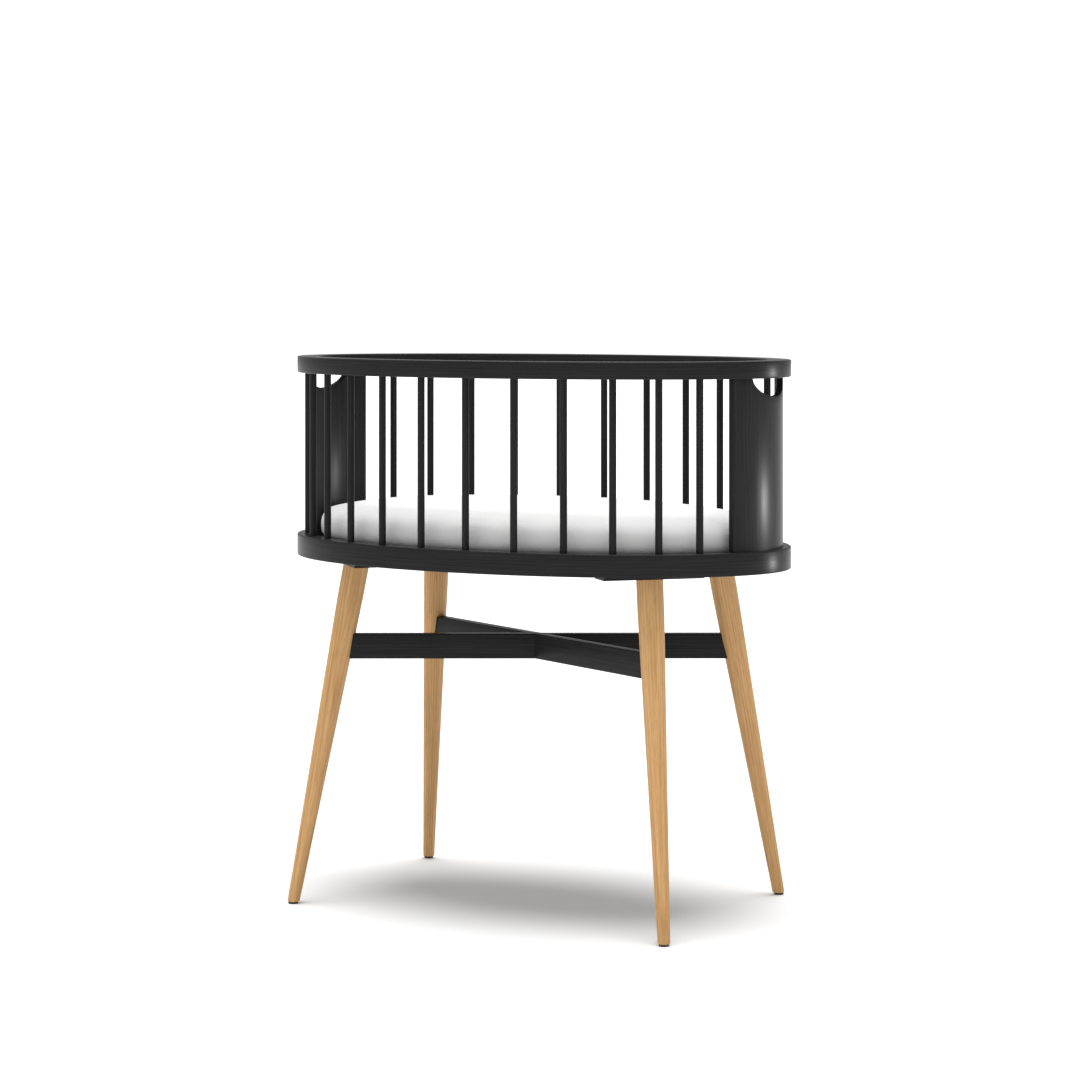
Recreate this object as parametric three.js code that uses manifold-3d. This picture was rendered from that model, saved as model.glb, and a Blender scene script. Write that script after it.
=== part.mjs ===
// Oval bassinet on a stand with four splayed legs.
// Millimetres, +Z up, X along the length. The origin is on the floor, under the middle of the oval.
import * as THREE from 'three';
import { mergeVertices } from 'three/addons/utils/BufferGeometryUtils.js';
import Module from 'manifold-3d';

// Overall sizes. The height is the sum of the stand, the two rings and the open side between them.
const LENGTH = 836; // outside of both oval rings, along X
const WIDTH = 497; // outside of both oval rings, along Y
const STAND_HEIGHT = 532; // floor to the underside of the base ring
const OPEN_HEIGHT = 258; // side between the two rings, where bars and end panels show

// Rings
const TOP_RING_HEIGHT = 26;
const TOP_RING_BREADTH = 35;
const BASE_RING_HEIGHT = 34;
const RING_CHAMFER = 1.6;

// Bars
const BARS_PER_SIDE = 11;
const BAR_DIAMETER = 11;
const BAR_STEP = 11.5; // degrees round the oval from one bar to the next
const BAR_TENON = 14; // depth of a bar's end in each ring

// End panels
const PANEL_THICKNESS = 10;
const PANEL_HALF_ANGLE = 22; // degrees round the oval, each side of the end
const PANEL_TONGUE = 6; // depth of the panel in each ring
const HAND_HOLD_WIDTH = 114;
const HAND_HOLD_DEPTH = 28;

// Mattress and the board that it lies on
const REBATE_DEPTH = 16; // base ring's top to the ledge that carries the board
const REBATE_WALL = 4.5; // wood left between a panel's groove and the rebate
const LEDGE_WIDTH = 58;
const BOARD_THICKNESS = 9;
const VENT_DIAMETER = 24;
const VENT_PITCH = 110;
const VENT_MARGIN = 5; // base ring's inner edge to the nearest vent
const MATTRESS_THICKNESS = 68;
const MATTRESS_ROUND = 24;

// Plates between the base ring and the legs
const PLATE_LENGTH = 158;
const PLATE_BREADTH = 44;
const PLATE_THICKNESS = 6;
const PLATE_TURN = 45; // degrees from X to the plate's length

// Legs
const LEG_INSET = 65.2; // rings' outer edge to the leg's axis, at the leg's top
const LEG_ANGLE = 43.43; // degrees round the oval
const LEG_SPLAY_LENGTHWISE = 6.95; // degrees
const LEG_SPLAY_SIDEWAYS = 9.08; // degrees
const LEG_TOP_DIAMETER = 40.5;
const LEG_SHOULDER_DIAMETER = 40;
const LEG_FOOT_DIAMETER = 18.5;
const LEG_TAPER_SHARE = 0.9; // share of the leg that tapers, from the foot up
const GLIDE_HEIGHT = 3;
const GLIDE_DIAMETER = 15;
const GLIDE_NAIL_DIAMETER = 3;
const GLIDE_NAIL_LENGTH = 12;

// Crossed stretchers
const STRETCHER_DROP = 115; // base ring's underside to the stretchers' top edge
const STRETCHER_HEIGHT = 39;
const STRETCHER_THICKNESS = 18;
const STRETCHER_CORE = 6; // stretcher's end to the leg's axis

// Fasteners
const LEG_BOLT_DIAMETER = 8;
const LEG_BOLT_DEPTH = 40; // shank's length in the leg
const LEG_BOLT_HEAD_ACROSS = 15; // across the corners
const LEG_BOLT_HEAD_HEIGHT = 5.3;
const LEG_BOLT_SINK_DIAMETER = 20; // counterbore in the base ring's ledge, wide enough for a socket
const LEG_BOLT_SINK_DEPTH = 6.5;
const DOWEL_DIAMETER = 8;
const DOWEL_IN_LEG = 12;
const DOWEL_IN_STRETCHER = 28;
const SCREW_DIAMETER = 4;
const SCREW_HEAD_DIAMETER = 8;
const SCREW_HEAD_HEIGHT = 2.6;
const SCREW_TIP = 3; // length of the point
const SCREW_COVER = 4; // wood left past a screw's point
const PLATE_SCREW_SPREAD = 120; // between the two screws of a plate

// Fits
const GAP = 0.3; // between pieces that touch
const BOARD_CLEARANCE = 1; // board in its rebate
const MATTRESS_CLEARANCE = 3; // mattress in the narrower of the two rings' openings

// Fineness of round shapes
const OVAL_SIDES = 72;
const PANEL_SIDES = 12;
const LEG_SIDES = 24;
const ROD_SIDES = 12;
const SCREW_SIDES = 8;
const REACH = 40; // how far a cutting shape runs past the wood that it cuts

// Heights and insets that follow from the sizes above. An inset is counted in from the rings' outer edge.
const BASE_TOP = STAND_HEIGHT + BASE_RING_HEIGHT;
const LEDGE_Z = BASE_TOP - REBATE_DEPTH;
const RAIL_Z = BASE_TOP + OPEN_HEIGHT;
const BAR_INSET = TOP_RING_BREADTH / 2;
const REBATE_INSET = BAR_INSET + PANEL_THICKNESS / 2 + REBATE_WALL;
const BASE_RING_BREADTH = REBATE_INSET + LEDGE_WIDTH;
const SCREW_INSET = REBATE_INSET + LEDGE_WIDTH / 2;
const MATTRESS_INSET = Math.max(TOP_RING_BREADTH, REBATE_INSET) + MATTRESS_CLEARANCE;
const BOARD_Z = LEDGE_Z + GAP;
const BOARD_TOP = BOARD_Z + BOARD_THICKNESS;
const PLATE_TOP = STAND_HEIGHT - GAP;
const PLATE_Z = PLATE_TOP - PLATE_THICKNESS;
const LEG_TOP = PLATE_Z - GAP;
const STRETCHER_Z = STAND_HEIGHT - STRETCHER_DROP - STRETCHER_HEIGHT / 2;
const BOLT_HEAD_Z = LEDGE_Z - LEG_BOLT_SINK_DEPTH;
const plateScrewLength = PLATE_THICKNESS + GAP + LEDGE_Z - STAND_HEIGHT - SCREW_COVER;
const boardScrewLength = BOARD_TOP - STAND_HEIGHT - SCREW_COVER;

const paint = { color: 0x101011, roughness: 0.42, metalness: 0 };
const oak = { color: 0xc8915a, roughness: 0.55, metalness: 0 };
const beech = { color: 0xc9a27a, roughness: 0.7, metalness: 0 };
const cotton = { color: 0xf2f2f0, roughness: 0.95, metalness: 0 };
const steel = { color: 0x9a9da0, roughness: 0.35, metalness: 1 };
const nylon = { color: 0x2a211b, roughness: 0.5, metalness: 0 };

const wasm = await Module();
wasm.setup();
const bassinet = new THREE.Group();

// Geometry becomes a solid that can be cut: shared corners are merged and empty triangles dropped.
function solidOf(geometry) {
  const bare = geometry.clone();
  bare.deleteAttribute('normal');
  bare.deleteAttribute('uv');
  const merged = mergeVertices(bare, 1e-4);
  const corners = merged.index.array;
  const kept = [];
  for (let i = 0; i < corners.length; i += 3) {
    const [a, b, c] = corners.slice(i, i + 3);
    if (a !== b && b !== c && c !== a) kept.push(a, b, c);
  }
  return new wasm.Manifold(new wasm.Mesh({
    numProp: 3,
    vertProperties: merged.attributes.position.array,
    triVerts: new Uint32Array(kept),
  }));
}

function geometryOf(solid) {
  const mesh = solid.getMesh();
  const geometry = new THREE.BufferGeometry();
  geometry.setAttribute('position', new THREE.BufferAttribute(mesh.vertProperties, 3));
  geometry.setIndex(new THREE.BufferAttribute(mesh.triVerts, 1));
  geometry.computeVertexNormals();
  return geometry;
}

const cutAll = (solid, cutters) => cutters.reduce((left, cutter) => left.subtract(cutter), solid);

function addPiece(name, solid, finish, position = [0, 0, 0], turn = 0) {
  const mesh = new THREE.Mesh(geometryOf(solid), new THREE.MeshStandardMaterial(finish));
  mesh.name = name;
  mesh.position.set(...position);
  mesh.rotation.z = turn;
  bassinet.add(mesh);
}

// A point of the oval that lies inset from the rings' outer edge, at an angle round the oval from +X.
function ovalPoint(inset, degrees) {
  const angle = THREE.MathUtils.degToRad(degrees);
  const x = (LENGTH / 2 - inset) * Math.cos(angle);
  const y = (WIDTH / 2 - inset) * Math.sin(angle);
  return new THREE.Vector2(x, y);
}

// A ring with a given section, as [inset, height] corners, swept round the oval.
function ovalRing(section) {
  const radius = LENGTH / 2;
  const profile = [...section, section[0]].map(([inset, z]) => new THREE.Vector2(radius - inset, z));
  const ring = new THREE.LatheGeometry(profile, OVAL_SIDES).rotateX(Math.PI / 2);
  const corners = ring.attributes.position;
  for (let i = 0; i < corners.count; i += 1) {
    const inset = radius - Math.hypot(corners.getX(i), corners.getY(i));
    const angle = Math.atan2(corners.getY(i), corners.getX(i));
    const point = ovalPoint(inset, THREE.MathUtils.radToDeg(angle));
    corners.setXY(i, point.x, point.y);
  }
  return solidOf(ring);
}

function ovalShape(inset) {
  const shape = new THREE.Shape();
  shape.absellipse(0, 0, LENGTH / 2 - inset, WIDTH / 2 - inset, 0, 2 * Math.PI);
  return shape;
}

// A straight round rod from z = bottom to z = top, at x, y.
function rod(diameter, bottom, top, x = 0, y = 0, sides = ROD_SIDES) {
  const cylinder = new THREE.CylinderGeometry(diameter / 2, diameter / 2, top - bottom, sides);
  return cylinder.rotateX(Math.PI / 2).translate(x, y, (bottom + top) / 2);
}

// A turned piece from [radius, height] corners, which start and end on the axis.
function turned(profile, sides) {
  const points = profile.map(([radius, z]) => new THREE.Vector2(radius, z));
  return new THREE.LatheGeometry(points, sides).rotateX(Math.PI / 2);
}

// A countersunk screw whose head is at z = 0 and whose point is up. Grown, it is the hole that takes it.
function screw(length, grown = 0) {
  const head = SCREW_HEAD_DIAMETER / 2 + grown;
  const shank = SCREW_DIAMETER / 2 + grown;
  return turned([
    [0, -grown],
    [head, -grown],
    [shank, SCREW_HEAD_HEIGHT],
    [shank, length - SCREW_TIP],
    [0, length + grown],
  ], SCREW_SIDES);
}

const screwHole = (length) => screw(length, GAP);

const CORNERS = [
  { name: 'front_left', sideX: -1, sideY: -1 },
  { name: 'front_right', sideX: 1, sideY: -1 },
  { name: 'back_left', sideX: -1, sideY: 1 },
  { name: 'back_right', sideX: 1, sideY: 1 },
];

// Where a leg's axis stands at a height. The sides are -1 or 1 along X and Y.
function legPlace(sideX, sideY, z) {
  const top = ovalPoint(LEG_INSET, LEG_ANGLE);
  const drop = LEG_TOP - z;
  const x = top.x + drop * Math.tan(THREE.MathUtils.degToRad(LEG_SPLAY_LENGTHWISE));
  const y = top.y + drop * Math.tan(THREE.MathUtils.degToRad(LEG_SPLAY_SIDEWAYS));
  return new THREE.Vector3(sideX * x, sideY * y, z);
}

// A leg's plate crosses the line from the middle of the oval to that corner.
const plateTurn = ({ sideX, sideY }) => -sideX * sideY * THREE.MathUtils.degToRad(PLATE_TURN);

function plateScrewPlaces() {
  const places = [];
  for (const corner of CORNERS) {
    const middle = legPlace(corner.sideX, corner.sideY, LEG_TOP);
    for (const [number, way] of [[1, -1], [2, 1]]) {
      const x = middle.x + way * PLATE_SCREW_SPREAD / 2 * Math.cos(plateTurn(corner));
      const y = middle.y + way * PLATE_SCREW_SPREAD / 2 * Math.sin(plateTurn(corner));
      places.push({ name: `plate_screw_${corner.name}_${number}`, corner, x, y });
    }
  }
  return places;
}

const boardScrewPlaces = () => [SCREW_INSET - WIDTH / 2, WIDTH / 2 - SCREW_INSET];

function barPlaces() {
  const places = [];
  for (const [side, middle] of [['front', -90], ['back', 90]]) {
    for (let i = 0; i < BARS_PER_SIDE; i += 1) {
      const angle = middle - Math.sign(middle) * (i - (BARS_PER_SIDE - 1) / 2) * BAR_STEP;
      places.push({ name: `bar_${side}_${i + 1}`, at: ovalPoint(BAR_INSET, angle) });
    }
  }
  return places;
}

// The curved end panel's outline in plan, at the +X end. Grown, it is the groove that takes it.
function panelShape(grown) {
  const outer = [];
  const inner = [];
  for (let i = 0; i <= PANEL_SIDES; i += 1) {
    const angle = PANEL_HALF_ANGLE * (2 * i / PANEL_SIDES - 1);
    outer.push(ovalPoint(BAR_INSET - PANEL_THICKNESS / 2 - grown, angle));
    inner.unshift(ovalPoint(BAR_INSET + PANEL_THICKNESS / 2 + grown, angle));
  }
  for (const [edge, way] of [[0, -1], [PANEL_SIDES, 1]]) {
    outer[edge].y += way * grown;
    inner[PANEL_SIDES - edge].y += way * grown;
  }
  return new THREE.Shape([...outer, ...inner]);
}

function panelSlab(bottom, top, grown = 0) {
  const slab = new THREE.ExtrudeGeometry(panelShape(grown), { depth: top - bottom, bevelEnabled: false });
  return slab.translate(0, 0, bottom);
}

// The hand hold under the rail: half an ellipse, open upwards, run through the panel along X.
function handHold(shrunk = 0) {
  const half = HAND_HOLD_WIDTH / 2 - shrunk;
  const shape = new THREE.Shape();
  shape.moveTo(-half, REACH);
  shape.lineTo(-half, 0);
  shape.absellipse(0, 0, half, HAND_HOLD_DEPTH - shrunk, Math.PI, 2 * Math.PI);
  shape.lineTo(half, REACH);
  const settings = { depth: LENGTH / 2, bevelEnabled: false, curveSegments: 12 };
  const block = new THREE.ExtrudeGeometry(shape, settings);
  return block.rotateX(Math.PI / 2).rotateZ(Math.PI / 2).translate(0, 0, RAIL_Z);
}

// Bars, grooves and holes in the rings
function addRings() {
  const c = RING_CHAMFER;
  const [top, broad] = [TOP_RING_HEIGHT, TOP_RING_BREADTH];
  const topSection = [
    [c, 0], [0, c], [0, top - c], [c, top], [broad - c, top], [broad, top - c], [broad, c], [broad - c, 0],
  ];
  const high = BASE_RING_HEIGHT;
  const ledge = high - REBATE_DEPTH;
  const baseSection = [
    [c, 0], [0, c], [0, high - c], [c, high], [REBATE_INSET, high],
    [REBATE_INSET, ledge], [BASE_RING_BREADTH, ledge], [BASE_RING_BREADTH, 0],
  ];
  const holeDepth = BAR_TENON + GAP;
  const grooveDepth = PANEL_TONGUE + GAP;
  const topCuts = [];
  const baseCuts = [];
  for (const { at } of barPlaces()) {
    const wide = BAR_DIAMETER + 2 * GAP;
    topCuts.push(solidOf(rod(wide, -REACH, holeDepth, at.x, at.y)));
    baseCuts.push(solidOf(rod(wide, high - holeDepth, high + REACH, at.x, at.y)));
  }
  for (const turn of [0, Math.PI]) {
    const topGroove = solidOf(panelSlab(-REACH, grooveDepth, GAP).rotateZ(turn));
    topCuts.push(topGroove.subtract(solidOf(handHold(GAP).translate(0, 0, -RAIL_Z).rotateZ(turn))));
    baseCuts.push(solidOf(panelSlab(high - grooveDepth, high + REACH, GAP).rotateZ(turn)));
  }
  for (const { x, y } of plateScrewPlaces()) {
    baseCuts.push(solidOf(screwHole(plateScrewLength).translate(x, y, PLATE_Z - STAND_HEIGHT)));
  }
  for (const y of boardScrewPlaces()) {
    const hole = screwHole(boardScrewLength).rotateX(Math.PI);
    baseCuts.push(solidOf(hole.translate(0, y, BOARD_TOP - STAND_HEIGHT)));
  }
  for (const { sideX, sideY } of CORNERS) {
    const { x, y } = legPlace(sideX, sideY, LEG_TOP);
    const sinkBottom = BOLT_HEAD_Z - GAP - STAND_HEIGHT;
    baseCuts.push(solidOf(rod(LEG_BOLT_DIAMETER + 2 * GAP, -REACH, REACH, x, y)));
    baseCuts.push(solidOf(rod(LEG_BOLT_SINK_DIAMETER, sinkBottom, ledge + REACH, x, y)));
  }
  addPiece('top_ring', cutAll(ovalRing(topSection), topCuts), paint, [0, 0, RAIL_Z]);
  addPiece('base_ring', cutAll(ovalRing(baseSection), baseCuts), paint, [0, 0, STAND_HEIGHT]);
}

function addBars() {
  const bar = solidOf(rod(BAR_DIAMETER, -BAR_TENON, OPEN_HEIGHT + BAR_TENON));
  for (const { name, at } of barPlaces()) addPiece(name, bar, paint, [at.x, at.y, BASE_TOP]);
}

function addPanels() {
  const slab = solidOf(panelSlab(BASE_TOP - PANEL_TONGUE, RAIL_Z + PANEL_TONGUE));
  const panel = slab.subtract(solidOf(handHold()));
  addPiece('end_panel_right', panel, paint);
  addPiece('end_panel_left', panel, paint, [0, 0, 0], Math.PI);
}

// The board's vents lie on a square grid, wherever a whole vent keeps its margin inside the
// base ring's opening.
function ventPlaces() {
  const places = [];
  const count = Math.ceil(LENGTH / VENT_PITCH);
  for (let i = -count; i <= count; i += 1) {
    for (let j = -count; j <= count; j += 1) {
      const [x, y] = [i * VENT_PITCH, j * VENT_PITCH];
      const inset = BASE_RING_BREADTH + VENT_MARGIN + VENT_DIAMETER / 2;
      const within = (x / (LENGTH / 2 - inset)) ** 2 + (y / (WIDTH / 2 - inset)) ** 2;
      if (within < 1) places.push([x, y]);
    }
  }
  return places;
}

function addBoard() {
  const outline = ovalShape(REBATE_INSET + BOARD_CLEARANCE);
  const options = { depth: BOARD_THICKNESS, bevelEnabled: false, curveSegments: OVAL_SIDES / 2 };
  const board = solidOf(new THREE.ExtrudeGeometry(outline, options));
  const cuts = ventPlaces().map(([x, y]) => solidOf(rod(VENT_DIAMETER, -REACH, REACH, x, y)));
  for (const y of boardScrewPlaces()) {
    cuts.push(solidOf(screwHole(boardScrewLength).rotateX(Math.PI).translate(0, y, BOARD_THICKNESS)));
  }
  addPiece('mattress_board', cutAll(board, cuts), paint, [0, 0, BOARD_Z]);
  const fastener = solidOf(screw(boardScrewLength).rotateX(Math.PI));
  const [front, back] = boardScrewPlaces();
  addPiece('board_screw_front', fastener, steel, [0, front, BOARD_TOP]);
  addPiece('board_screw_back', fastener, steel, [0, back, BOARD_TOP]);
}

function addMattress() {
  const round = MATTRESS_ROUND;
  const mattress = new THREE.ExtrudeGeometry(ovalShape(MATTRESS_INSET + round), {
    depth: MATTRESS_THICKNESS - 2 * round,
    bevelSize: round,
    bevelThickness: round,
    bevelSegments: 3,
    curveSegments: OVAL_SIDES / 2,
  });
  addPiece('mattress', solidOf(mattress), cotton, [0, 0, BOARD_TOP + GAP + round]);
}

function addPlates() {
  const block = new THREE.BoxGeometry(PLATE_LENGTH, PLATE_BREADTH, PLATE_THICKNESS);
  const cuts = [-1, 1].map((way) => {
    const hole = screwHole(plateScrewLength);
    return solidOf(hole.translate(way * PLATE_SCREW_SPREAD / 2, 0, -PLATE_THICKNESS / 2));
  });
  cuts.push(solidOf(rod(LEG_BOLT_DIAMETER + 2 * GAP, -REACH, REACH)));
  const plate = cutAll(solidOf(block), cuts);
  for (const corner of CORNERS) {
    const { x, y } = legPlace(corner.sideX, corner.sideY, LEG_TOP);
    const middle = [x, y, PLATE_Z + PLATE_THICKNESS / 2];
    addPiece(`leg_plate_${corner.name}`, plate, paint, middle, plateTurn(corner));
  }
  const fastener = solidOf(screw(plateScrewLength));
  for (const { name, x, y } of plateScrewPlaces()) addPiece(name, fastener, steel, [x, y, PLATE_Z]);
}

// One stretcher, from leg to leg through the middle. Grown, it is the housing that takes it.
function stretcherBlock(sideY, grown = 0) {
  const end = legPlace(1, sideY, STRETCHER_Z);
  const long = 2 * (Math.hypot(end.x, end.y) - STRETCHER_CORE + grown);
  const block = new THREE.BoxGeometry(long, STRETCHER_THICKNESS + 2 * grown, STRETCHER_HEIGHT + 2 * grown);
  return block.rotateZ(Math.atan2(end.y, end.x)).translate(0, 0, STRETCHER_Z);
}

// A dowel along a stretcher's axis, from the stretcher's end grain into the leg.
function dowelRod(sideX, sideY, grown = 0) {
  const at = legPlace(sideX, sideY, STRETCHER_Z);
  const end = Math.hypot(at.x, at.y) - STRETCHER_CORE;
  const peg = rod(DOWEL_DIAMETER + 2 * grown, end - DOWEL_IN_STRETCHER - grown, end + DOWEL_IN_LEG + grown);
  return peg.rotateY(Math.PI / 2).rotateZ(Math.atan2(at.y, at.x)).translate(0, 0, STRETCHER_Z);
}

// Half of the height is cut from each stretcher where they cross, so that they lie level.
function addStretchers() {
  const size = 4 * STRETCHER_HEIGHT;
  const half = (way) => {
    const middle = STRETCHER_Z + way * (size - GAP) / 2;
    return new THREE.BoxGeometry(size, size, size).translate(0, 0, middle);
  };
  const names = { 1: 'stretcher_front_left_to_back_right', [-1]: 'stretcher_back_left_to_front_right' };
  for (const sideY of [1, -1]) {
    const lap = solidOf(stretcherBlock(-sideY, GAP)).intersect(solidOf(half(sideY)));
    const pegs = [1, -1].map((sideX) => solidOf(dowelRod(sideX, sideX * sideY, GAP)));
    const board = cutAll(solidOf(stretcherBlock(sideY)), [lap, ...pegs]);
    addPiece(names[sideY], board, paint);
  }
}

// A leg turned to a taper, tilted outwards and sawn level at both ends.
function legBlank(sideX, sideY) {
  const top = legPlace(sideX, sideY, LEG_TOP);
  const foot = legPlace(sideX, sideY, 0);
  const long = top.distanceTo(foot);
  const slope = (LEG_SHOULDER_DIAMETER - LEG_FOOT_DIAMETER) / 2 / (LEG_TAPER_SHARE * long);
  const blank = turned([
    [0, -REACH],
    [LEG_FOOT_DIAMETER / 2 - REACH * slope, -REACH],
    [LEG_SHOULDER_DIAMETER / 2, LEG_TAPER_SHARE * long],
    [LEG_TOP_DIAMETER / 2, long],
    [LEG_TOP_DIAMETER / 2, long + REACH],
    [0, long + REACH],
  ], LEG_SIDES);
  const tilt = new THREE.Quaternion().setFromUnitVectors(
    new THREE.Vector3(0, 0, 1),
    top.clone().sub(foot).normalize(),
  );
  return blank.applyQuaternion(tilt).translate(foot.x, foot.y, 0);
}

function glide(grown = 0) {
  const disc = GLIDE_DIAMETER / 2;
  const nail = GLIDE_NAIL_DIAMETER / 2 + grown;
  return turned([
    [0, 0],
    [disc - 1, 0],
    [disc, 1],
    [disc, GLIDE_HEIGHT],
    [nail, GLIDE_HEIGHT],
    [nail, GLIDE_HEIGHT + GLIDE_NAIL_LENGTH - nail + grown],
    [0, GLIDE_HEIGHT + GLIDE_NAIL_LENGTH + grown],
  ], ROD_SIDES);
}

// A hexagon bolt whose head is sunk in the ledge and whose shank runs down through the plate into the leg.
function legBolt() {
  const down = BOLT_HEAD_Z - LEG_TOP + LEG_BOLT_DEPTH;
  const shank = solidOf(rod(LEG_BOLT_DIAMETER, -down, LEG_BOLT_HEAD_HEIGHT / 2));
  return shank.add(solidOf(rod(LEG_BOLT_HEAD_ACROSS, 0, LEG_BOLT_HEAD_HEIGHT, 0, 0, 6)));
}

function addLegs() {
  const level = LEG_TOP - GLIDE_HEIGHT - GAP;
  const reach = 2 * (LENGTH + STAND_HEIGHT);
  const between = new THREE.BoxGeometry(reach, reach, level).translate(0, 0, LEG_TOP - level / 2);
  const boltHole = rod(LEG_BOLT_DIAMETER + 2 * GAP, LEG_TOP - LEG_BOLT_DEPTH - GAP, LEG_TOP + REACH);
  for (const { name, sideX, sideY } of CORNERS) {
    const head = legPlace(sideX, sideY, LEG_TOP);
    const foot = legPlace(sideX, sideY, 0);
    const leg = cutAll(solidOf(legBlank(sideX, sideY)).intersect(solidOf(between)), [
      solidOf(stretcherBlock(sideX * sideY, GAP)),
      solidOf(dowelRod(sideX, sideY, GAP)),
      solidOf(boltHole.clone().translate(head.x, head.y, 0)),
      solidOf(glide(GAP).translate(foot.x, foot.y, 0)),
    ]);
    addPiece(`leg_${name}`, leg, oak);
    addPiece(`leg_bolt_${name}`, legBolt(), steel, [head.x, head.y, BOLT_HEAD_Z]);
    addPiece(`glide_${name}`, solidOf(glide()), nylon, [foot.x, foot.y, 0]);
    addPiece(`stretcher_dowel_${name}`, solidOf(dowelRod(sideX, sideY)), beech);
  }
}

addRings();
addBars();
addPanels();
addBoard();
addMattress();
addPlates();
addStretchers();
addLegs();

export default bassinet;
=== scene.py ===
# An oval bassinet: a black lacquered basket on oiled oak legs, with a white mattress.
import math

import bmesh
import bpy
from mathutils import Matrix, Vector


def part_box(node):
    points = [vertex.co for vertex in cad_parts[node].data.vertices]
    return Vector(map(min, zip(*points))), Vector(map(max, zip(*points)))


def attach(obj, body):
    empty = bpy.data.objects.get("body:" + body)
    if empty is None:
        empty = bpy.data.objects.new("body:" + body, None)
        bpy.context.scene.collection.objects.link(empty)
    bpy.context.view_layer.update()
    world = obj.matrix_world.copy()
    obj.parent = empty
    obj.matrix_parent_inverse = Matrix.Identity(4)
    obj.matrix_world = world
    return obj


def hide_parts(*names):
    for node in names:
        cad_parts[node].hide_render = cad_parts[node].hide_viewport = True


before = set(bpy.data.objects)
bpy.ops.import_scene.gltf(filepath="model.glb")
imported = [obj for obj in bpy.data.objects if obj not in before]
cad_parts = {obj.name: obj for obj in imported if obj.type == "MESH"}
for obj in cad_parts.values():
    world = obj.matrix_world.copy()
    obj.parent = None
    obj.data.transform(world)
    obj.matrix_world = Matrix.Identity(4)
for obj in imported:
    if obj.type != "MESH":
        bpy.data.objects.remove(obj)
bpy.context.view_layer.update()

# ---------------------------------------------------------------------------
# Camera
# Level, at an adult's chest height, looking past the right front leg. The lens is shifted down, so that
# upright edges stay upright.
camera = bpy.data.objects.new("camera", bpy.data.cameras.new("camera"))
camera.data.lens = 98.9
camera.data.sensor_width = 36
camera.data.shift_y = -0.2345
camera.data.clip_end = 60
camera.location = (2.193, -4.112, 0.961)
camera.rotation_euler = (math.radians(90), 0, math.radians(28.03))
bpy.context.scene.collection.objects.link(camera)
bpy.context.scene.camera = camera

# ---------------------------------------------------------------------------
# Legs
# Four solid oak legs, turned to a long taper, splayed outwards, sawn level at both ends and oiled. The grain
# runs along each leg, and the growth rings curve across it as they do in a board sawn beside the heart.
BODY = "bassinet_frame"
CORNERS = ("front_left", "front_right", "back_left", "back_right")
LEG_TOP_RADIUS = 0.02025
LEG_SHOULDER_RADIUS = 0.020
LEG_FOOT_RADIUS = 0.00925
LEG_TAPER_SHARE = 0.9
LEG_SIDES = 64
LEG_ROWS = 48
LEG_CUT_PASSES = 6
FOOT_ROUND = 0.0012
PLANK_TURN = 1.9
PLANK_STEP = Vector((0, 0.0247, 5.7))


class Wire:
    """A shader socket that takes part in plain arithmetic: each operation adds one Math node."""

    def __init__(self, bench, socket):
        self.bench = bench
        self.socket = socket

    def maths(self, operation, first, second=0.0):
        return self.bench.node("ShaderNodeMath", {"operation": operation}, {0: first, 1: second})

    def __add__(self, other):
        return self.maths("ADD", self, other)

    def __sub__(self, other):
        return self.maths("SUBTRACT", self, other)

    def __rsub__(self, other):
        return self.maths("SUBTRACT", other, self)

    def __mul__(self, other):
        return self.maths("MULTIPLY", self, other)

    def __pow__(self, power):
        return self.maths("POWER", self, power)

    __radd__ = __add__
    __rmul__ = __mul__

    def sine(self):
        return self.maths("SINE", self)

    def part(self, name):
        """Another output of the node that this one comes from."""
        return Wire(self.bench, self.socket.node.outputs[name])


class Bench:
    """A node tree under construction: node() adds any node and gives back its output as a Wire."""

    def __init__(self, tree):
        self.tree = tree

    def node(self, kind, settings=None, inputs=None, output=0):
        made = self.tree.nodes.new(kind)
        for key, value in (settings or {}).items():
            setattr(made, key, value)
        self.feed(made, inputs or {})
        if output is not None:
            return Wire(self, made.outputs[output])

    def feed(self, node, inputs):
        for key, value in inputs.items():
            if isinstance(value, Wire):
                self.tree.links.new(value.socket, node.inputs[key])
            else:
                node.inputs[key].default_value = value


class Finish(Bench):
    """A material on the bench, with the steps that several finishes share."""

    def __init__(self, name):
        self.material = bpy.data.materials.new(name)
        self.material.use_nodes = True
        self.shader = self.material.node_tree.nodes["Principled BSDF"]
        super().__init__(self.material.node_tree)

    def stretched(self, vector, scale):
        """A place scaled by a different amount along each axis."""
        return self.node("ShaderNodeVectorMath", {"operation": "MULTIPLY"}, {0: vector, 1: scale})

    def noise(self, vector, scale, detail=3.0, roughness=0.5):
        place = self.stretched(vector, scale)
        inputs = {"Vector": place, "Scale": 1.0, "Detail": detail, "Roughness": roughness}
        return self.node("ShaderNodeTexNoise", {"noise_dimensions": "3D"}, inputs)

    def blend(self, first, second, factor):
        """A colour from first at factor 0 to second at factor 1."""
        inputs = {0: factor, 6: first, 7: second}
        return self.node("ShaderNodeMix", {"data_type": "RGBA"}, inputs, output=2)

    def spread(self, value, low, high, out_low=0.0, out_high=1.0):
        """A value between low and high, stretched to out_low and out_high and clamped."""
        inputs = {"Value": value, "From Min": low, "From Max": high, "To Min": out_low, "To Max": out_high}
        return self.node("ShaderNodeMapRange", {"clamp": True}, inputs)

    def relief(self, height, strength, depth):
        inputs = {"Height": height, "Strength": strength, "Distance": depth}
        return self.node("ShaderNodeBump", {}, inputs)


def grain_of(finish):
    """Where a point lies in the wood: across, across and along the grain, in metres."""
    return finish.node("ShaderNodeAttribute", {"attribute_name": "grain"}, {}, output="Vector")


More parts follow.
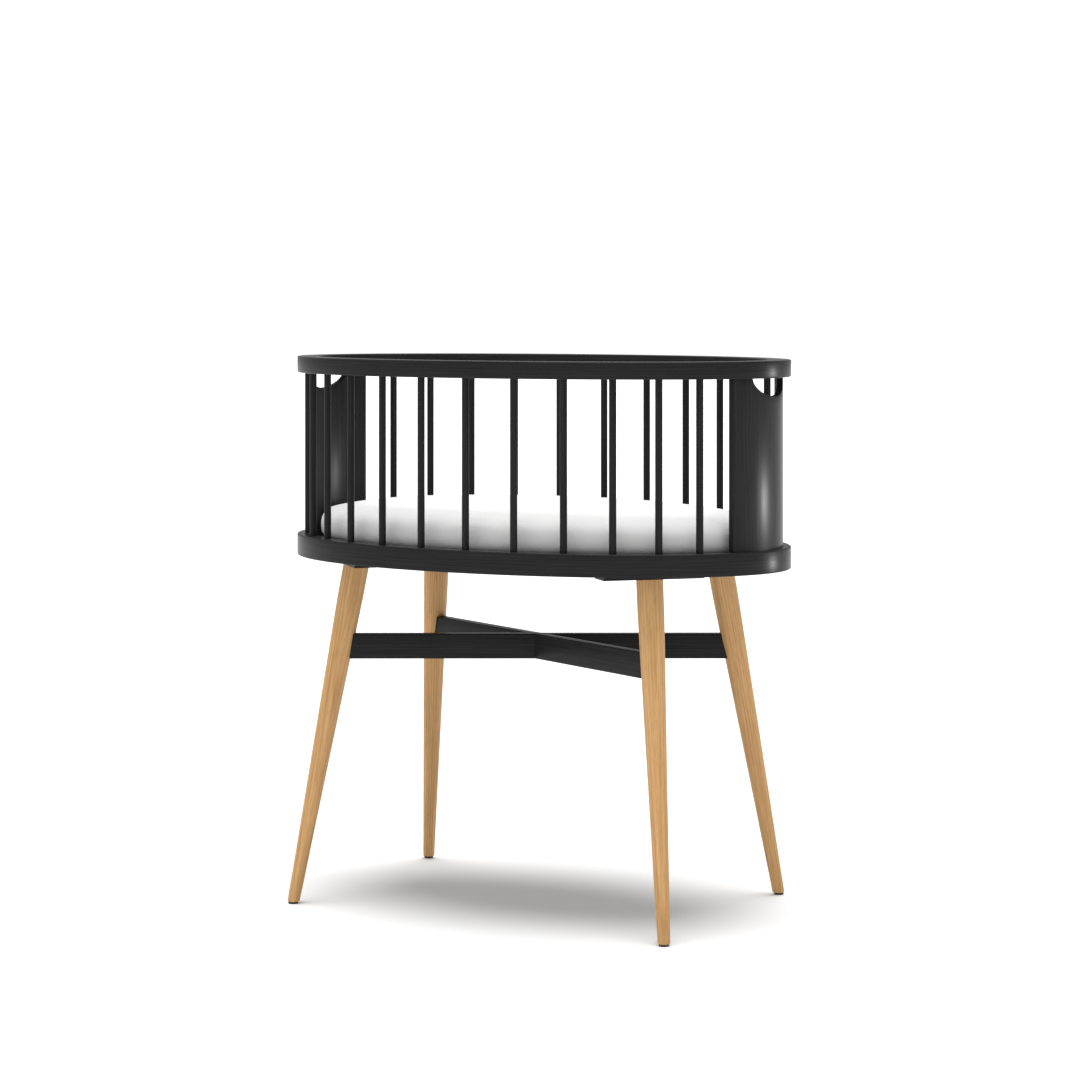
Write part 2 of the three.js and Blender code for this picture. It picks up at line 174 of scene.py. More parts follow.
def oiled_oak():
    oak = Finish("oiled_oak")
    grain = grain_of(oak)
    drift = oak.noise(grain, (9.0, 9.0, 1.3), detail=2.0)
    split = oak.node("ShaderNodeSeparateXYZ", {}, {"Vector": grain})
    across = split.part("X") + drift * 0.016 + 0.052
    aside = split.part("Y") + drift * 0.010
    from_heart = (across * across + aside * aside) ** 0.5
    rings = (from_heart * (2 * math.pi / 0.0040)).sine() * 0.5 + 0.5
    late_wood = rings ** 2.0
    streaks = oak.noise(grain, (300.0, 300.0, 4.5), detail=3.0, roughness=0.55)
    fibre = oak.noise(grain, (900.0, 900.0, 14.0), detail=3.0, roughness=0.6)
    cloud = oak.noise(grain, (36.0, 36.0, 2.0), detail=3.0)
    pore = oak.spread(oak.noise(grain, (1500.0, 1500.0, 42.0), detail=1.0), 0.60, 0.72)
    darkness = late_wood * 0.20 + oak.spread(streaks, 0.30, 0.70) * 0.42
    darkness = darkness + oak.spread(fibre, 0.30, 0.70) * 0.20 + oak.spread(cloud, 0.30, 0.70) * 0.26
    body = oak.blend((0.740, 0.440, 0.182, 1), (0.400, 0.205, 0.070, 1), darkness)
    colour = oak.blend(body, (0.230, 0.098, 0.033, 1), pore * 0.45)
    oak.feed(oak.shader, {
        "Base Color": colour,
        "Roughness": oak.spread(darkness, 0.1, 0.9, 0.50, 0.62),
        "Normal": oak.relief(fibre * 0.5 + streaks * 0.3 - pore * 0.8, 0.35, 0.0003),
        "IOR": 1.45,
    })
    return oak.material


def lay_grain(mesh, place):
    """Stores where each corner lies in the wood. place takes a vertex and the middle of its face."""
    layer = mesh.attributes.new("grain", "FLOAT_VECTOR", "CORNER")
    values = []
    for face in mesh.polygons:
        for index in face.vertices:
            values.extend(place(mesh.vertices[index].co, face.center))
    layer.data.foreach_set("vector", values)


def build(name, bm, material, place=None, sharp=40):
    """Makes a bmesh into a smooth-shaded piece, with edges over sharp degrees kept crisp."""
    bmesh.ops.recalc_face_normals(bm, faces=bm.faces)
    mesh = bpy.data.meshes.new(name)
    bm.to_mesh(mesh)
    bm.free()
    mesh.polygons.foreach_set("use_smooth", [True] * len(mesh.polygons))
    mesh.set_sharp_from_angle(angle=math.radians(sharp))
    mesh.materials.append(material)
    if place:
        lay_grain(mesh, place)
    piece = bpy.data.objects.new(name, mesh)
    bpy.context.scene.collection.objects.link(piece)
    return piece


def skin(bm, rows, closed=True):
    """Joins rows of vertices, each a loop of points round a piece, into a skin of quads."""
    loops = [[bm.verts.new(point) for point in row] for row in rows]
    for low, high in zip(loops, loops[1:]):
        count = len(low)
        for i in range(count if closed else count - 1):
            j = (i + 1) % count
            bm.faces.new((low[i], low[j], high[j], high[i]))
    return loops


def cap_ends(bm, loops):
    """Closes a skin with a face across its first loop and another across its last."""
    bm.faces.new(loops[0])
    bm.faces.new(loops[-1])


def middle_of(node):
    low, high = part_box(node)
    return (low + high) / 2


def turned_leg(corner):
    low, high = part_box(f"leg_{corner}")
    foot = middle_of(f"glide_{corner}")
    top = middle_of(f"leg_bolt_{corner}")
    foot.z, top.z = 0, high.z
    long = (top - foot).length
    axis = (top - foot).normalized()
    right = axis.cross(Vector((0, 0, 1))).normalized()
    ahead = right.cross(axis)

    def radius(along):
        share = along / long
        if share < LEG_TAPER_SHARE:
            return LEG_FOOT_RADIUS + (LEG_SHOULDER_RADIUS - LEG_FOOT_RADIUS) * share / LEG_TAPER_SHARE
        rest = (share - LEG_TAPER_SHARE) / (1 - LEG_TAPER_SHARE)
        return LEG_SHOULDER_RADIUS + (LEG_TOP_RADIUS - LEG_SHOULDER_RADIUS) * rest

    def along_at(height, outward):
        """How far up the leg's axis the line facing outward meets a level cut."""
        along = height / axis.z
        for _ in range(LEG_CUT_PASSES):
            along = (height - outward.z * radius(along)) / axis.z
        return along

    rows = []
    for row in range(LEG_ROWS + 1):
        points = []
        for side in range(LEG_SIDES):
            angle = 2 * math.pi * side / LEG_SIDES
            outward = right * math.cos(angle) + ahead * math.sin(angle)
            start, end = along_at(low.z + FOOT_ROUND, outward), along_at(high.z, outward)
            along = start + (end - start) * row / LEG_ROWS
            points.append(foot + axis * along + outward * radius(along))
        rows.append(points)
    centre = sum(rows[0], Vector()) / LEG_SIDES
    inner = []
    for point in rows[0]:
        drawn_in = centre + (point - centre) * (1 - FOOT_ROUND / LEG_FOOT_RADIUS)
        inner.append(Vector((drawn_in.x, drawn_in.y, low.z)))
    bm = bmesh.new()
    cap_ends(bm, skin(bm, [inner, *rows]))
    number = CORNERS.index(corner)
    turn = Matrix.Rotation(number * PLANK_TURN, 3, "Z")

    def place(point, _):
        """Each leg comes from its own part of the plank, turned its own way."""
        offset = point - foot
        return turn @ Vector((offset.dot(right), offset.dot(ahead), offset.dot(axis))) + number * PLANK_STEP

    return build(f"oak_leg_{corner}", bm, oak_finish, place)


oak_finish = oiled_oak()
for corner in CORNERS:
    leg = turned_leg(corner)
    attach(leg, BODY)
    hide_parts(f"leg_{corner}")

# ---------------------------------------------------------------------------
# Glides
# A round glide moulded in dark nylon sits under each foot, a little narrower than the foot. Its lower edge is
# rounded, and it keeps the wood off the floor.
GLIDE_ROUND = 0.0011
GLIDE_SIDES = 40


def nylon():
    dark = Finish("brown_nylon")
    place = dark.node("ShaderNodeTexCoord", {}, {}, output="Object")
    speckle = dark.noise(place, (900.0, 900.0, 900.0))
    dark.feed(dark.shader, {
        "Base Color": dark.blend((0.020, 0.015, 0.011, 1), (0.042, 0.031, 0.022, 1), speckle),
        "Roughness": 0.42 + 0.2 * speckle,
        "Normal": dark.relief(speckle, 0.2, 0.0002),
    })
    return dark.material


def round_rows(profile, centre, sides):
    """Rows of a turned shape, from the radius and height of each of its corners."""
    turn = [2 * math.pi * side / sides for side in range(sides)]
    rows = []
    for radius, z in profile:
        flat = Vector((centre.x, centre.y, z))
        rows.append([flat + radius * Vector((math.cos(angle), math.sin(angle), 0)) for angle in turn])
    return rows


def quarter(steps):
    """Angles from 0 to 90 degrees, for a quarter round."""
    return [math.pi / 2 * step / steps for step in range(steps + 1)]


nylon_finish = nylon()
for corner in CORNERS:
    low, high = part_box(f"glide_{corner}")
    radius = (high.x - low.x) / 2
    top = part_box(f"leg_{corner}")[0].z
    profile = []
    for angle in quarter(5):
        drawn_in, lift = GLIDE_ROUND * (1 - math.sin(angle)), GLIDE_ROUND * (1 - math.cos(angle))
        profile.append((radius - drawn_in, lift))
    bm = bmesh.new()
    cap_ends(bm, skin(bm, round_rows([*profile, (radius, top)], middle_of(f"glide_{corner}"), GLIDE_SIDES)))
    glide = build(f"nylon_glide_{corner}", bm, nylon_finish)
    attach(glide, BODY)
    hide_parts(f"glide_{corner}")

# ---------------------------------------------------------------------------
# Crossed stretchers
# Two boards on edge, halved over each other where they cross, dowelled to the legs and lacquered black with
# the edges just broken. The lacquer is thin enough for the grain to show in it.
STRETCHER_THICKNESS = 0.018
EDGE_BREAK = 0.0011
JOINT_GAP = 0.0003


def black_lacquer():
    black = Finish("black_lacquer")
    grain = grain_of(black)
    fibre = black.noise(grain, (420.0, 420.0, 7.0), detail=4.0, roughness=0.62)
    flow = black.noise(grain, (60.0, 60.0, 2.2), detail=2.0)
    peel = black.noise(grain, (700.0, 700.0, 700.0), detail=1.0)
    lift = black.spread(fibre, 0.38, 0.66)
    colour = black.blend((0.0150, 0.0150, 0.0153, 1), (0.0245, 0.0245, 0.0249, 1), lift)
    black.feed(black.shader, {
        "Base Color": colour,
        "Roughness": lift * 0.05 + black.spread(flow, 0.3, 0.7) * 0.04 + 0.265,
        "Normal": black.relief(fibre * 0.8 + peel * 0.25, 0.18, 0.0003),
        "IOR": 1.15,
    })
    return black.material


def break_edges(bm, width, keep, steps=3):
    """Rounds the edges that keep picks, where two faces meet at a real corner."""
    least_turn = math.radians(50)
    turned = []
    for edge in bm.edges:
        if edge.is_manifold and edge.calc_face_angle() > least_turn and keep(edge):
            turned.append(edge)
    bmesh.ops.bevel(
        bm, geom=turned, offset=width, segments=steps, profile=0.5, affect="EDGES", clamp_overlap=True)


def lengthwise(along):
    """Picks the edges that run the board's length, which leaves its ends and the halving joint crisp."""
    nearly_parallel = 0.99

    def runs_lengthwise(edge):
        way = (edge.verts[1].co - edge.verts[0].co).normalized()
        return abs(way.dot(along)) > nearly_parallel

    return runs_lengthwise


def stretcher(name, along, reach, low, high, notch_up, crossing, offset):
    """A board on edge, notched to half its height where the other board crosses it."""
    side = Vector((-along.y, along.x, 0))
    half = STRETCHER_THICKNESS / 2
    middle = (low + high) / 2
    turn_sine = along.cross(crossing).z
    turn_cosine = along.dot(crossing)
    notch = (half + JOINT_GAP) / abs(turn_sine)
    edge = high if notch_up else low
    back = low if notch_up else high
    floor = middle + (-JOINT_GAP / 2 if notch_up else JOINT_GAP / 2)
    rows = []
    for way in (-1, 1):
        skew = way * half * turn_cosine / turn_sine
        outline = [
            (-reach, back), (reach, back), (reach, edge), (skew + notch, edge),
            (skew + notch, floor), (skew - notch, floor), (skew - notch, edge), (-reach, edge),
        ]
        rows.append([along * x + side * way * half + Vector((0, 0, z)) for x, z in outline])
    bm = bmesh.new()
    for loop in skin(bm, rows):
        bm.faces.new(loop)
    bmesh.ops.recalc_face_normals(bm, faces=bm.faces)
    break_edges(bm, EDGE_BREAK, keep=lengthwise(along))

    def place(point, _):
        return point.dot(side), point.z, point.dot(along) + offset

    return build(name, bm, lacquer, place)


lacquer = black_lacquer()
STRETCHERS = (
    ("front_left_to_back_right", 1, False, 9),
    ("back_left_to_front_right", -1, True, 5),
)
dowel = middle_of("stretcher_dowel_back_right")
turn = math.atan2(dowel.y, dowel.x)
for route, way, notch_up, offset in STRETCHERS:
    node = f"stretcher_{route}"
    low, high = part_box(node)
    inset = STRETCHER_THICKNESS / 2
    reach = (high.x - inset * math.sin(turn)) / math.cos(turn)
    along = Vector((math.cos(turn), way * math.sin(turn), 0))
    crossing = Vector((math.cos(turn), -way * math.sin(turn), 0))
    board = stretcher(f"black_{node}", along, reach, low.z, high.z, notch_up, crossing, offset)
    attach(board, BODY)
    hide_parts(node)

# ---------------------------------------------------------------------------
# Leg plates, bolts, screws and dowels
# Thin wooden plates, painted black and turned 45 degrees, carry the legs under the ring, with zinc plated
# bolts and screws. Bare beech dowels join the stretchers to the legs. Only the plates' edges show, so all of
# these keep the frame's own shapes.


def flat_paint():
    paint = Finish("black_plate_paint")
    place = paint.node("ShaderNodeTexCoord", {}, {}, output="Object")
    speckle = paint.noise(place, (260.0, 260.0, 260.0))
    paint.feed(paint.shader, {
        "Base Color": paint.blend((0.0130, 0.0130, 0.0133, 1), (0.0220, 0.0220, 0.0224, 1), speckle),
        "Roughness": 0.34 + 0.15 * speckle,
        "Normal": paint.relief(speckle, 0.15, 0.0002),
        "IOR": 1.15,
    })
    return paint.material


def zinc():
    steel = Finish("zinc_plating")
    place = steel.node("ShaderNodeTexCoord", {}, {}, output="Object")
    spangle = steel.noise(place, (500.0, 500.0, 500.0), detail=4.0)
    steel.feed(steel.shader, {
        "Base Color": steel.blend((0.46, 0.47, 0.48, 1), (0.62, 0.62, 0.60, 1), spangle),
        "Roughness": 0.25 + 0.25 * spangle,
        "Metallic": 1.0,
    })
    return steel.material


def bare_beech():
    beech = Finish("bare_beech")
    place = beech.node("ShaderNodeTexCoord", {}, {}, output="Object")
    fibre = beech.noise(place, (240.0, 240.0, 240.0), detail=4.0)
    cloud = beech.noise(place, (12.0, 12.0, 12.0))
    shade = beech.spread(fibre, 0.3, 0.7) * 0.6 + beech.spread(cloud, 0.3, 0.7) * 0.4
    beech.feed(beech.shader, {
        "Base Color": beech.blend((0.64, 0.46, 0.29, 1), (0.50, 0.32, 0.18, 1), shade),
        "Roughness": 0.6 + 0.15 * shade,
        "Normal": beech.relief(fibre, 0.2, 0.0002),
    })
    return beech.material


def finish_nodes(stem, material):
    """The parts of the frame whose names begin with stem keep their shape and take a finish."""
    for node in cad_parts:
        if node.startswith(stem):
            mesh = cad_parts[node].data
            mesh.materials.clear()
            mesh.materials.append(material)
            mesh.polygons.foreach_set("material_index", [0] * len(mesh.polygons))


plate_finish = flat_paint()
zinc_finish = zinc()
finish_nodes("leg_plate", plate_finish)
finish_nodes("leg_bolt", zinc_finish)
finish_nodes("plate_screw", zinc_finish)
finish_nodes("stretcher_dowel", bare_beech())

# ---------------------------------------------------------------------------
# Base ring
# An oval ring of black lacquered beech, bent and glued up, with its outer edges rounded over. A rebate inside
# carries the mattress board.
RING_STEPS = 288
RING_ROUND = 0.0021
SEAM_MERGE = 1e-7
ring_low, ring_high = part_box("base_ring")
HALF_LENGTH, HALF_WIDTH = ring_high.x, ring_high.y
REBATE_EDGE_ROUND = 0.0008
LEDGE_INSET = 0.085
BOARD_CLEARANCE = 0.001
bar_inset = HALF_WIDTH + middle_of("bar_front_6").y
rebate_inset = HALF_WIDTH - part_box("mattress_board")[1].y - BOARD_CLEARANCE


def oval(inset, angle, z):
    """A point of the oval that lies inset from the rings' outer edge."""
    return Vector(((HALF_LENGTH - inset) * math.cos(angle), (HALF_WIDTH - inset) * math.sin(angle), z))


def rounded(corners, radii, steps=5):
    """Corners of a square-cornered section, each with its own round."""
    points = []
    for i, ((x, z), radius) in enumerate(zip(corners, radii)):
        if radius == 0:
            points.append((x, z))
            continue
        corner = Vector((x, z))
        before = (Vector(corners[i - 1]) - corner).normalized() * radius
        after = (Vector(corners[(i + 1) % len(corners)]) - corner).normalized() * radius
        centre = corner + before + after
        points += [tuple(centre - after * math.cos(a) - before * math.sin(a)) for a in quarter(steps)]
    return points


def oval_ring(name, section, offset):
    """A ring of one section all round, whose grain follows it and starts at offset."""
    bm = bmesh.new()
    angles = [2 * math.pi * step / RING_STEPS for step in range(RING_STEPS)]
    skin(bm, [[oval(inset, angle, z) for angle in angles] for inset, z in [*section, section[0]]])
    bmesh.ops.remove_doubles(bm, verts=bm.verts, dist=SEAM_MERGE)

    def place(point, middle):
        angle = math.atan2(point.y / HALF_WIDTH, point.x / HALF_LENGTH)
        centre = math.atan2(middle.y / HALF_WIDTH, middle.x / HALF_LENGTH)
        angle += 2 * math.pi * round((centre - angle) / (2 * math.pi))
        inset = HALF_LENGTH - math.hypot(point.x, point.y * HALF_LENGTH / HALF_WIDTH)
        return inset, point.z, angle * (HALF_LENGTH + HALF_WIDTH) / 2 + offset

    return build(name, bm, lacquer, place, sharp=60)


ledge_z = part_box("mattress_board")[0].z - JOINT_GAP
base_section = rounded(
    [(0, ring_low.z), (0, ring_high.z), (rebate_inset, ring_high.z), (rebate_inset, ledge_z),
     (LEDGE_INSET, ledge_z), (LEDGE_INSET, ring_low.z)],
    [RING_ROUND, RING_ROUND, REBATE_EDGE_ROUND, 0, RING_ROUND, RING_ROUND])
base_ring = oval_ring("black_base_ring", base_section, offset=0)
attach(base_ring, BODY)
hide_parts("base_ring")

# ---------------------------------------------------------------------------
# Mattress board
# A vented wooden board in the ring's rebate, painted like the plates and held by two zinc plated screws. It
# keeps the frame's own shape, because the mattress hides it.
finish_nodes("mattress_board", plate_finish)
finish_nodes("board_screw", zinc_finish)

# ---------------------------------------------------------------------------
# Bars
# Round beech bars, turned, lacquered black and glued into blind holes in both rings.
BAR_SIDES = 32
BAR_ROWS = 12
BAR_SEAT = 0.001

rail_low, rail_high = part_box("top_ring")
for node in [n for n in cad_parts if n.startswith("bar_")]:
    low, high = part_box(node)
    radius = (high.x - low.x) / 2
    centre = middle_of(node)
    bottom, top = ring_high.z - BAR_SEAT, rail_low.z + BAR_SEAT
    profile = [(radius, bottom + (top - bottom) * row / BAR_ROWS) for row in range(BAR_ROWS + 1)]
    bm = bmesh.new()
    cap_ends(bm, skin(bm, round_rows(profile, centre, BAR_SIDES)))
    bar = build(f"black_{node}", bm, lacquer, lambda point, _: (point.x, point.y, point.z))
    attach(bar, BODY)
    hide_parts(node)

# ---------------------------------------------------------------------------
# End panels
# A curved panel of bent plywood closes each end. Its upright edges are rounded, and a half-ellipse hand hold
# is cut from its top edge.
HAND_HOLD_HALF = 0.055
HAND_HOLD_DEPTH = 0.028
PANEL_EDGE_ROUND = 0.0026
PANEL_ROWS = 20
PANEL_SIDE_COLUMNS = 10
HOLD_COLUMNS = 36
PANEL_SEAT = 0.002
FOOT_CLEARANCE = 1e-5
panel_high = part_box("end_panel_right")[1]
panel_half_thickness = panel_high.x - (HALF_LENGTH - bar_inset)
panel_half_angle = math.asin(panel_high.y / (HALF_WIDTH - bar_inset + panel_half_thickness))


def panel_columns():
    """Angle round the oval and top height of each column of the panel."""
    top = rail_low.z + PANEL_SEAT
    radius = HALF_WIDTH - bar_inset
    mouth = math.asin(HAND_HOLD_HALF / radius)
    columns = []
    for i in range(PANEL_SIDE_COLUMNS):
        columns.append((-panel_half_angle + (panel_half_angle - mouth) * i / PANEL_SIDE_COLUMNS, top))
    for i in range(HOLD_COLUMNS + 1):
        turn = math.pi * (i / HOLD_COLUMNS - 0.5)
        angle = math.asin(HAND_HOLD_HALF * math.sin(turn) / radius)
        columns.append((angle, top - (HAND_HOLD_DEPTH + PANEL_SEAT) * math.cos(turn)))
    for i in range(PANEL_SIDE_COLUMNS):
        columns.append((mouth + (panel_half_angle - mouth) * (i + 1) / PANEL_SIDE_COLUMNS, top))
    return columns


def rim_of(rows):
    """The vertices round the edge of an open sheet: bottom, far side, top and near side."""
    far = [row[-1] for row in rows[1:]]
    near = [row[0] for row in rows[-2:0:-1]]
    return [*rows[0], *far, *rows[-1][-2::-1], *near]


def end_panel(side, facing):
    """Two curved sheets joined round their rims. facing is 1 at the right end and -1 at the left."""
    bottom = ring_high.z - PANEL_SEAT
    columns = panel_columns()
    sheets = []
    for inset in (bar_inset - panel_half_thickness, bar_inset + panel_half_thickness):
        rows = []
        for row in range(PANEL_ROWS + 1):
            share = row / PANEL_ROWS
            rows.append([oval(inset, angle, bottom + (top - bottom) * share) for angle, top in columns])
        sheets.append(rows)
    bm = bmesh.new()
    outer = skin(bm, sheets[0], closed=False)
    inner = skin(bm, sheets[1], closed=False)
    outside, inside = rim_of(outer), rim_of(inner)
    for i in range(len(outside)):
        j = (i + 1) % len(outside)
        bm.faces.new((outside[i], outside[j], inside[j], inside[i]))
    bmesh.ops.recalc_face_normals(bm, faces=bm.faces)
    seated = bottom + FOOT_CLEARANCE
    break_edges(bm, PANEL_EDGE_ROUND, lambda edge: any(v.co.z > seated for v in edge.verts), steps=4)
    if facing < 0:
        bmesh.ops.rotate(bm, verts=bm.verts, matrix=Matrix.Rotation(math.pi, 3, "Z"))

    def place(point, _):
        return point.y, point.x, point.z + facing

    return build(f"black_end_panel_{side}", bm, lacquer, place)


panels = {}
for side, facing in (("left", -1), ("right", 1)):
    panel = end_panel(side, facing)
    panels[side] = panel
    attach(panel, BODY)
    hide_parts(f"end_panel_{side}")

# ---------------------------------------------------------------------------
# Top ring
# The rail: a narrower oval ring of the same lacquered beech, rounded over all round where hands meet it.
rail_breadth = 2 * bar_inset
rail_section = rounded(
    [(0, rail_low.z), (0, rail_high.z), (rail_breadth, rail_high.z), (rail_breadth, rail_low.z)],
    [RING_ROUND] * 4)
top_ring = oval_ring("black_top_ring", rail_section, offset=20)
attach(top_ring, BODY)
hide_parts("top_ring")

# ---------------------------------------------------------------------------
# Mattress
# A foam core in a fitted cover of white cotton. The cover pulls the upper edge into a soft round and draws
# the two ends down, so that the top arches along its length.
MATTRESS_STEPS = 180
MATTRESS_GROWTH = 0.0015
HEADROOM = 0.001
TOP_ROUND = 0.023
TOP_SHOULDER = 0.024
BOTTOM_ROUND = 0.013
BOTTOM_SHOULDER = 0.010
CROWN = 0.011
ARCH = 0.010
CLOTH_VOXEL = 0.006
CLOTH_PRESSURE = 4.0
CLOTH_FRAMES = 20
SWELL_LIMIT = 0.0025


def cotton():
    cloth = Finish("white_cotton")
    place = cloth.node("ShaderNodeTexCoord", {}, {}, output="Object")
    wander = cloth.noise(place, (18.0, 18.0, 18.0), detail=2.0)
    split = cloth.node("ShaderNodeSeparateXYZ", {}, {"Vector": place})
    waves = []
    for axis, period in (("X", 0.0016), ("Y", 0.0016), ("Z", 0.0017)):
        thread = split.part(axis) * (2 * math.pi / period)
        waves.append((thread + wander * 3.0).sine())
    weave = (waves[0] * waves[1] + waves[1] * waves[2] + waves[2] * waves[0]) * 0.33
    lint = cloth.noise(place, (700.0, 700.0, 700.0), detail=3.0)
    crease = cloth.noise(place, (7.0, 11.0, 9.0), detail=2.0)
    tone = cloth.spread(lint, 0.3, 0.7) * 0.6 + weave * 0.2 + 0.2
    cloth.feed(cloth.shader, {
        "Base Color": cloth.blend((0.775, 0.775, 0.772, 1), (0.715, 0.715, 0.712, 1), tone),
        "Roughness": 0.85 + 0.1 * lint,
        "Sheen Weight": 0.15,
        "Sheen Roughness": 0.5,
        "Normal": cloth.relief(weave * 0.5 + lint * 0.4 + crease * 1.2, 0.25, 0.0006),
    })
    return cloth.material


def mattress_core(low, high):
    """The cover's shape before it is stretched over the foam. It is grown by what smoothing takes off."""
    half_length = high.x + MATTRESS_GROWTH
    half_width = high.y + MATTRESS_GROWTH
    rim = high.z - CROWN - HEADROOM
    lower = []
    for angle in quarter(7):
        inset, lift = BOTTOM_SHOULDER * (1 - math.sin(angle)), BOTTOM_ROUND * (1 - math.cos(angle))
        lower.append((inset, low.z + lift))
    upper = []
    for angle in quarter(9):
        inset, drop = TOP_SHOULDER * (1 - math.cos(angle)), TOP_ROUND * (1 - math.sin(angle))
        upper.append((inset, rim - drop))
    for share in (0.12, 0.25, 0.4, 0.55, 0.7, 0.85):
        inset = TOP_SHOULDER + (half_width - TOP_SHOULDER) * share
        upper.append((inset, rim + CROWN * (1 - (1 - share) ** 2)))
    turn = [2 * math.pi * step / MATTRESS_STEPS for step in range(MATTRESS_STEPS)]
    rows = []
    for arch, profile in ((0, lower), (ARCH, upper)):
        for inset, z in profile:
            row = []
            for angle in turn:
                x = (half_length - inset) * math.cos(angle)
                y = (half_width - inset) * math.sin(angle)
                row.append(Vector((x, y, z - arch * (x / half_length) ** 2)))
            rows.append(row)
    bm = bmesh.new()
    cap_ends(bm, skin(bm, rows))
    return bm


def stretch_cover(piece):
    """Blows the cover up a little against its own cloth, so that it pulls tight between the edges."""
    bpy.context.view_layer.objects.active = piece
    remesh = piece.modifiers.new("remesh", "REMESH")
    remesh.mode = "VOXEL"
    remesh.voxel_size = CLOTH_VOXEL
    bpy.ops.object.modifier_apply(modifier=remesh.name)
    rest = [v.co.copy() for v in piece.data.vertices]
    cloth = piece.modifiers.new("cloth", "CLOTH")
    cloth.settings.use_pressure = True
    cloth.settings.uniform_pressure_force = CLOTH_PRESSURE
    cloth.settings.effector_weights.gravity = 0.0
    scene = bpy.context.scene
    for number in range(1, CLOTH_FRAMES + 1):
        scene.frame_set(number)
    swollen = piece.evaluated_get(bpy.context.evaluated_depsgraph_get()).to_mesh()
    moved = [v.co.copy() for v in swollen.vertices]
    piece.modifiers.remove(cloth)
    scene.frame_set(1)
    bottom = min(co.z for co in rest)
    for vertex, start, end in zip(piece.data.vertices, rest, moved):
        swell = end - start
        if swell.length > SWELL_LIMIT:
            swell *= SWELL_LIMIT / swell.length
        vertex.co = start + swell
        vertex.co.z = max(vertex.co.z, bottom)


def soften(piece):
    """Evens out the cover's voxels and adds one subdivision."""
    bpy.context.view_layer.objects.active = piece
    smooth = piece.modifiers.new("smooth", "SMOOTH")
    smooth.factor = 0.5
    smooth.iterations = 3
    fine = piece.modifiers.new("fine", "SUBSURF")
    fine.levels = fine.render_levels = 1
    for modifier in (smooth, fine):
        bpy.ops.object.modifier_apply(modifier=modifier.name)
    piece.data.polygons.foreach_set("use_smooth", [True] * len(piece.data.polygons))


mattress_low, mattress_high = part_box("mattress")
mattress = build("white_mattress", mattress_core(mattress_low, mattress_high), cotton(), sharp=180)
stretch_cover(mattress)
soften(mattress)
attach(mattress, "mattress")
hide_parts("mattress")

# ---------------------------------------------------------------------------
# Studio
# A white floor that runs out of sight, a broad soft light overhead, and plain white all round that is
# brighter on the left. Four small lamps draw the highlights on the lacquer.
STUDIO_REACH = 30.0
SOFTBOX_ANGLE = math.radians(40)
SOFTBOX_STRENGTH = 3.5
BRIGHT_SIDE = (-0.88, -0.47, 0.0)
ROOM_DIM = 0.48
ROOM_BRIGHT = 0.62
ROOM_SEEN = 1.05


def studio_floor():
    bm = bmesh.new()
    bmesh.ops.create_grid(bm, x_segments=8, y_segments=8, size=STUDIO_REACH)
    white = Finish("studio_white")
    place = white.node("ShaderNodeTexCoord", {}, {}, output="Object")
    speckle = white.noise(place, (300.0, 300.0, 300.0))
    white.feed(white.shader, {
        "Base Color": white.blend((0.89, 0.89, 0.89, 1), (0.91, 0.91, 0.91, 1), speckle),
        "Roughness": 0.9,
        "Specular IOR Level": 0.1,
    })
    return build("studio_floor", bm, white.material)


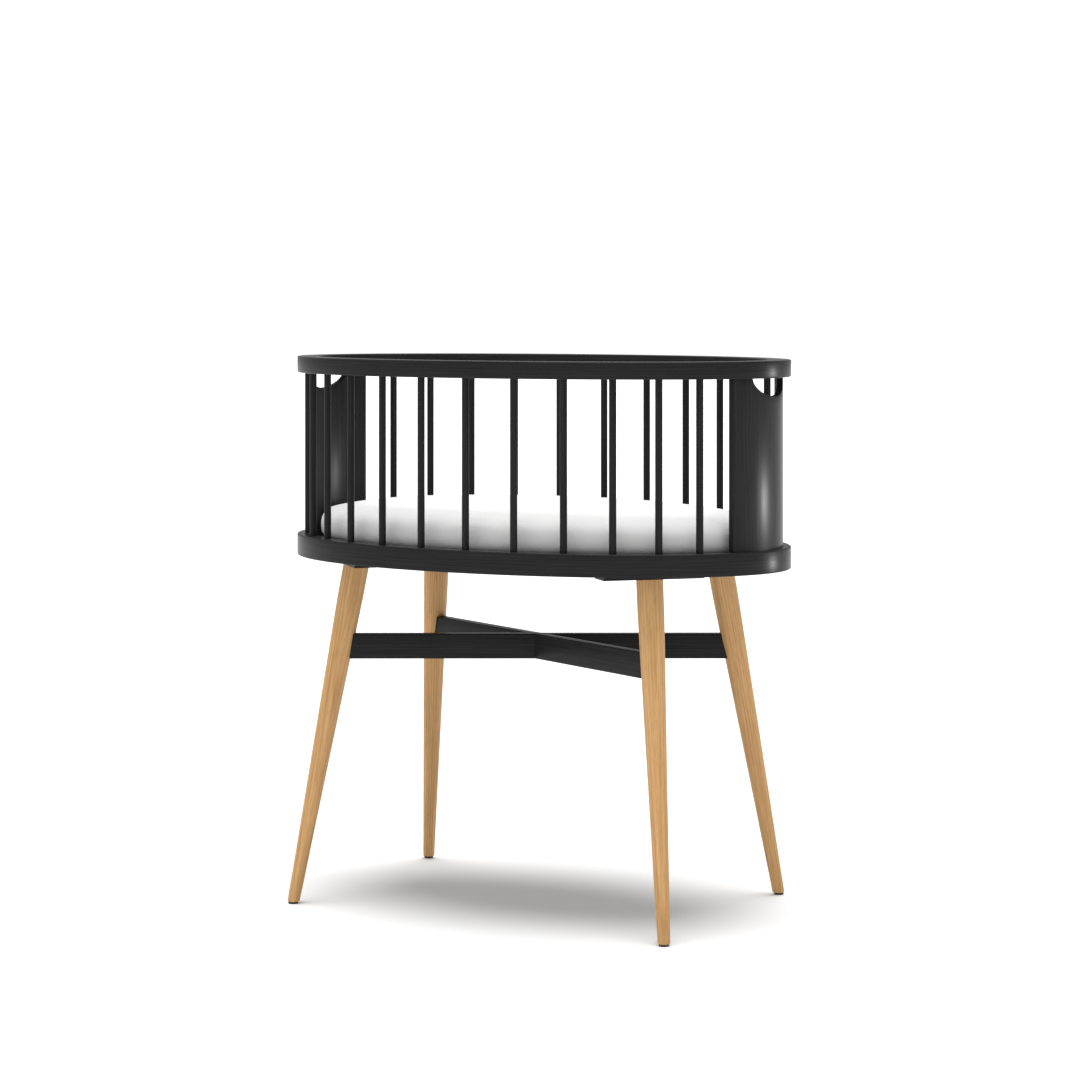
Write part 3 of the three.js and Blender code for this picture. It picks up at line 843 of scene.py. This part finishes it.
def white_room():
    """White to the eye, and a soft light that is stronger from the left than from the right."""
    world = bpy.data.worlds.new("white_room")
    world.use_nodes = True
    world.node_tree.nodes.clear()
    room = Bench(world.node_tree)
    way = room.node("ShaderNodeTexCoord", {}, {}, output="Generated")
    sides = {0: way, 1: BRIGHT_SIDE}
    lean = room.node("ShaderNodeVectorMath", {"operation": "DOT_PRODUCT"}, sides, output="Value")
    level = room.node("ShaderNodeMapRange", {}, {
        "Value": lean, "From Min": -1.0, "From Max": 1.0, "To Min": ROOM_DIM, "To Max": ROOM_BRIGHT,
    })
    seen = room.node("ShaderNodeLightPath", {}, {}, output="Is Camera Ray")
    levels = {"Factor": seen, "A": level, "B": ROOM_SEEN}
    strength = room.node("ShaderNodeMix", {"data_type": "FLOAT"}, levels)
    glow = room.node("ShaderNodeBackground", {}, {"Color": (1, 1, 1, 1), "Strength": strength})
    room.node("ShaderNodeOutputWorld", {}, {"Surface": glow}, output=None)
    bpy.context.scene.world = world


def add_light(name, kind, place, aim, power):
    lamp = bpy.data.lights.new(name, kind)
    lamp.energy = power
    light = bpy.data.objects.new(name, lamp)
    light.location = place
    light.rotation_euler = (Vector(aim) - Vector(place)).to_track_quat("-Z", "Y").to_euler()
    light.visible_camera = False
    bpy.context.scene.collection.objects.link(light)
    return light


def flagged_lamp(name, place, aim, size, power, lit):
    """A small lamp near the lacquer, flagged so that its light falls only on the lit piece."""
    light = add_light(name, "AREA", place, aim, power)
    light.data.shape = "RECTANGLE"
    light.data.size, light.data.size_y = size
    flag = bpy.data.collections.new(name)
    flag.objects.link(lit)
    light.light_linking.receiver_collection = flag


studio_floor()
white_room()
softbox = add_light("softbox", "SUN", (0, 0, 3), (0, 0, 0), SOFTBOX_STRENGTH)
softbox.data.angle = SOFTBOX_ANGLE
LAMPS = (
    ("panel_lamp", (0.785, 0.287, 0.602), (0.40, -0.03, 0.64), (0.02, 0.05), 1.45, panels["right"]),
    ("base_lamp", (0.781, 0.307, 0.495), (0.415, -0.03, 0.546), (0.02, 0.02), 1.0, base_ring),
    ("rail_lamp", (0.709, 0.240, 0.800), (0.415, -0.03, 0.829), (0.02, 0.02), 0.6, top_ring),
    ("left_panel_lamp", (-0.066, 0.242, 0.628), (-0.39, 0.028, 0.65), (0.012, 0.03), 1.0, panels["left"]),
)
for name, place, aim, size, power, lit in LAMPS:
    flagged_lamp(name, place, aim, size, power, lit)
bpy.context.scene.view_settings.view_transform = "Standard"
